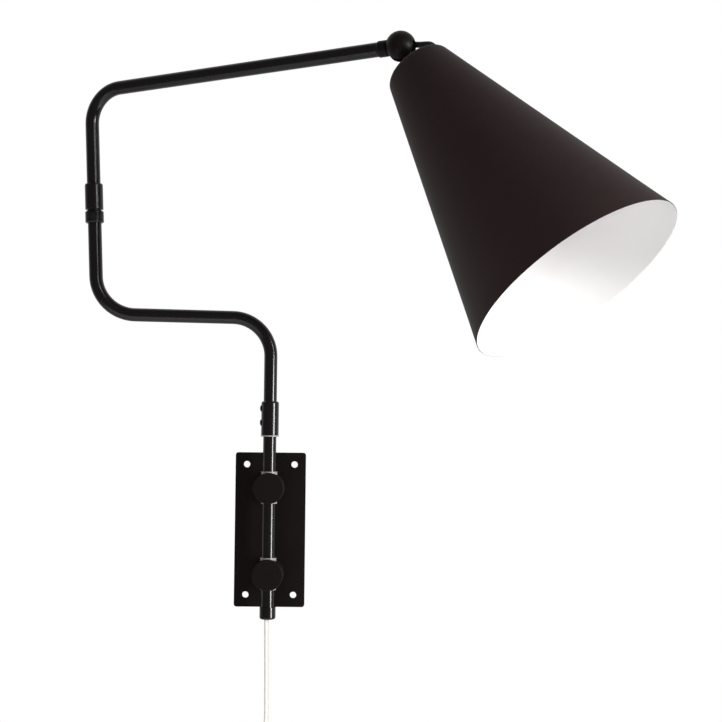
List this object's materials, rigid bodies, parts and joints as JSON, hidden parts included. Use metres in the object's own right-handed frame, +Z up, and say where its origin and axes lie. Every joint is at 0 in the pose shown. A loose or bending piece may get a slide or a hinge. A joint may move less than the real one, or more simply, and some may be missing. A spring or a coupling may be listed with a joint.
{
  "type": "swing arm wall sconce",
  "caption": "Wall lamp with two cranked swinging arms on a fixed post and a conical shade on a ball knuckle, with a corded plug.",
  "frame": {"origin": "centre of the wall plate's back face, where it meets the wall", "axes": "+X to the right along the wall, +Y into the wall, +Z up; the arms and the shade stand out to -Y"},
  "size_m": [0.4854, 0.3383, 0.772],
  "materials": {
    "dark_paint": "satin black-brown paint",
    "shade_paint": "satin black-brown paint outside, matt white inside",
    "zinc_steel": "zinc plated",
    "black_screws": "blackened",
    "white_nylon": "natural nylon",
    "porcelain": "glazed, stands for porcelain",
    "brass_parts": "plain",
    "black_lead": "soft black sheath",
    "phenolic": "moulded black",
    "bulb_glass": "opal",
    "clear_cord": "clear sheath over copper and tinned cores",
    "white_plug": "moulded",
    "plug_pins": "nickelled"
  },
  "bodies": {
    "root": {"wall_plate": "dark_paint", "upper_boss": "dark_paint", "lower_boss": "dark_paint", "boss_bushes": "white_nylon", "boss_screws": "zinc_steel", "post_grub_screws": "black_screws", "post_tube": "dark_paint", "shoulder_pivot": "zinc_steel", "shoulder_washer": "white_nylon", "end_cap": "dark_paint", "cord_grip": "white_nylon", "cord_splice": "black_lead", "post_lead": "black_lead", "cord_tube": "clear_cord", "cord_coil": "clear_cord", "cord_tail": "clear_cord", "coil_ties": "black_lead", "plug_body": "white_plug", "plug_pins": "plug_pins"},
    "lower_arm": {"shoulder_sleeve": "dark_paint", "shoulder_screws": "black_screws", "lower_arm_tube": "dark_paint", "lower_arm_lead": "black_lead", "elbow_collar": "dark_paint", "elbow_pivot": "zinc_steel", "elbow_washer": "black_screws"},
    "upper_arm": {"elbow_sleeve": "dark_paint", "elbow_grub_screws": "black_screws", "upper_arm_tube": "dark_paint", "upper_arm_lead": "black_lead", "end_ferrule": "dark_paint", "ferrule_grub_screw": "black_screws"},
    "knuckle": {"ball_knuckle": "dark_paint", "pivot_screw": "black_screws", "knuckle_lead": "black_lead"},
    "shade_head": {"stem_link": "zinc_steel", "friction_washers": "brass_parts", "shade_nut": "dark_paint", "star_washer": "zinc_steel", "shade": "shade_paint", "lead_grommet": "black_lead", "head_lead": "black_lead", "holder_cap": "phenolic", "holder_skirt": "phenolic", "holder_core": "porcelain", "holder_shell": "brass_parts", "bulb_cap": "zinc_steel", "bulb_glass": "bulb_glass"}
  },
  "joints": [
    {"name": "shoulder_swing", "type": "hinge", "parent": "root", "child": "lower_arm", "pos_m": [0, -0.022, 0.087], "axis": [0, 0, 1], "range_deg": [-12, 168]},
    {"name": "elbow_swing", "type": "hinge", "parent": "lower_arm", "child": "upper_arm", "pos_m": [-0.15756, -0.05549, 0.28741], "axis": [-0.0427, -0.0091, 0.999], "range_deg": [-145, 200]},
    {"name": "head_roll", "type": "hinge", "parent": "upper_arm", "child": "knuckle", "pos_m": [0.11198, -0.17294, 0.40446], "axis": [0.9197, -0.3909, 0.0357], "range_deg": [-150, 150]},
    {"name": "shade_tilt", "type": "hinge", "parent": "knuckle", "child": "shade_head", "pos_m": [0.11198, -0.17294, 0.40446], "axis": [0.3923, 0.9127, -0.1143], "range_deg": [-25, 60], "deforming": ["head_lead"]}
  ]
}
